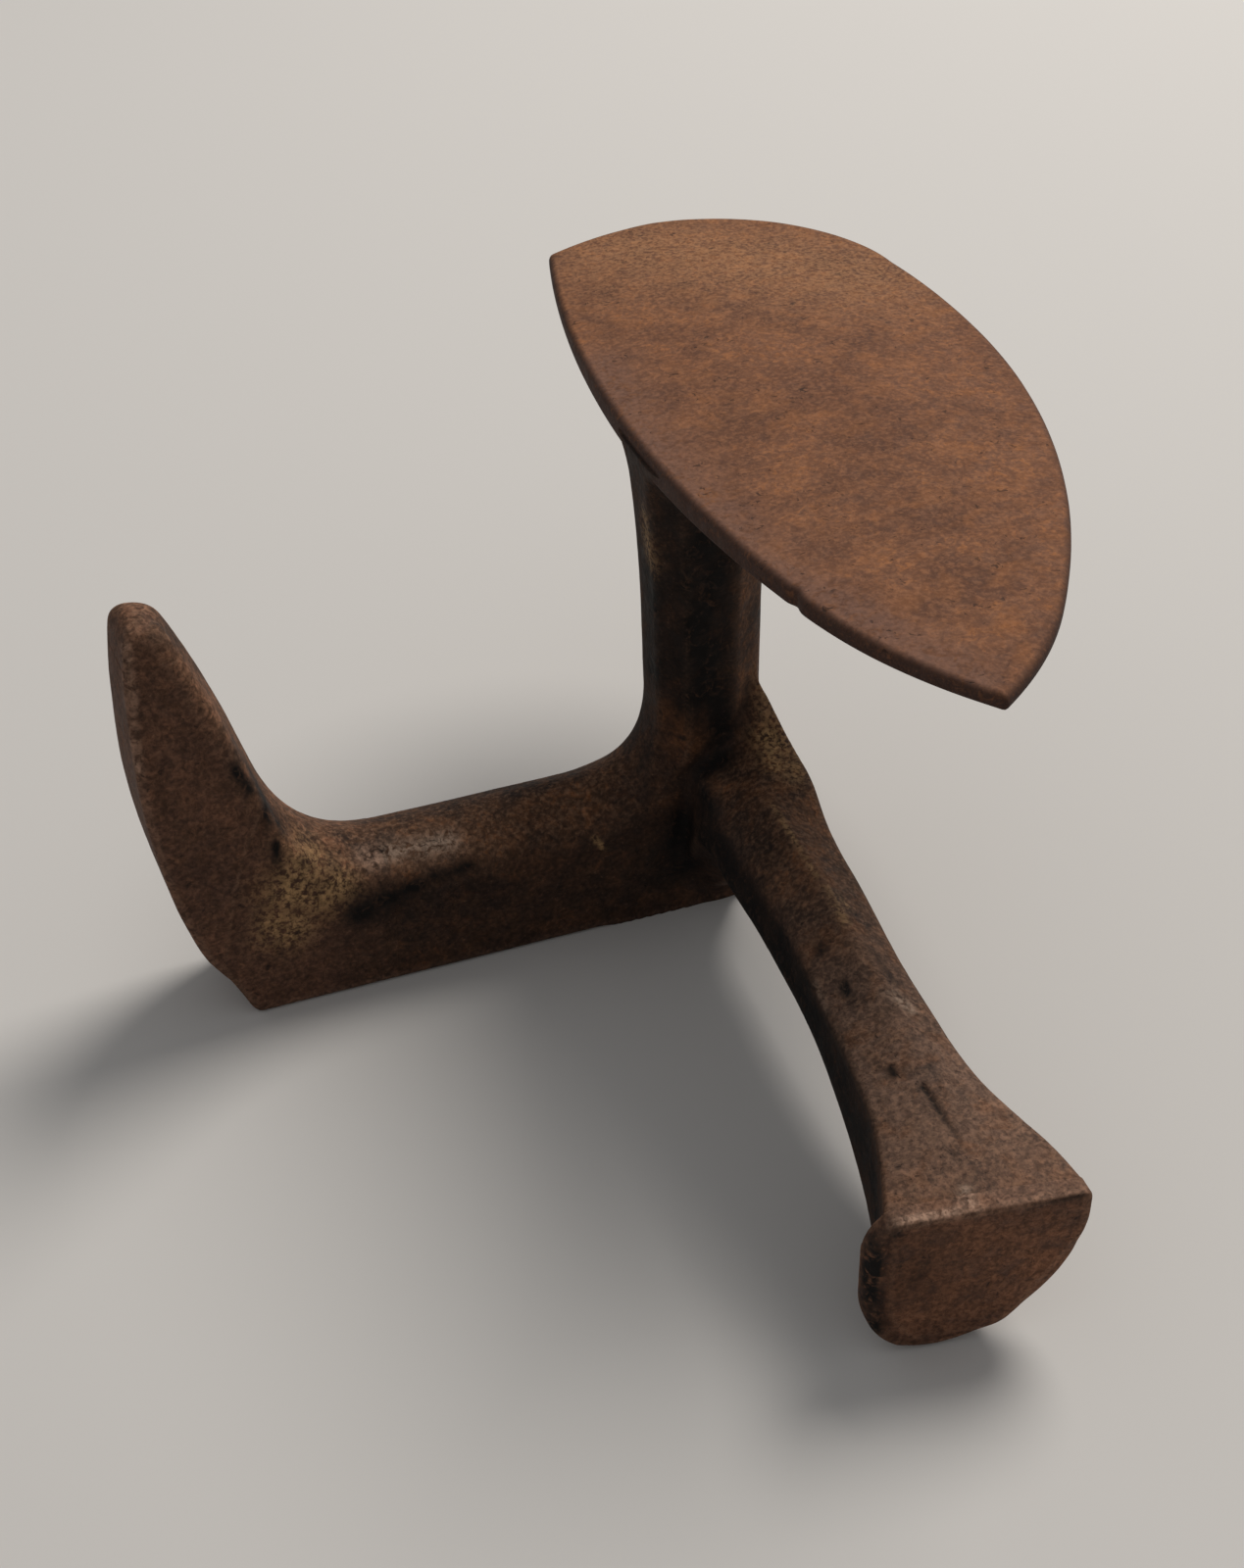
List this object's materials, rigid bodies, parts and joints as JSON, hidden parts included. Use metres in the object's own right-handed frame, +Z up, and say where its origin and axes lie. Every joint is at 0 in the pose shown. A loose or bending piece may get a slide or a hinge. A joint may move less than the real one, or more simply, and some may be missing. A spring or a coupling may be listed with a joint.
{
  "type": "cobbler anvil",
  "caption": "Cast-iron cobbler's anvil: legs that meet in a corner hub carry a pointed-oval sole plate, a D-shaped heel last and an upright toe last, and it is turned over to change head.",
  "frame": {"origin": "on the floor, under the axis of the upright leg that carries the sole plate", "axes": "+Z up along the upright leg; the side leg with the toe last runs along -X and the front leg with the heel last along -Y, as the anvil stands in the picture"},
  "size_m": [0.2064, 0.2616, 0.1239],
  "materials": {
    "plate_iron": "evenly rusted, orange-brown, worn smooth by use",
    "leg_iron": "as-cast skin, dark brown rust with black patches and dust",
    "last_iron": "brown rust with rubbed edges"
  },
  "bodies": {
    "root": {"sole_plate": "plate_iron", "upright_leg": "leg_iron", "hub": "leg_iron", "side_leg": "leg_iron", "toe_last": "last_iron", "front_leg": "leg_iron", "heel_last": "last_iron"}
  },
  "joints": []
}
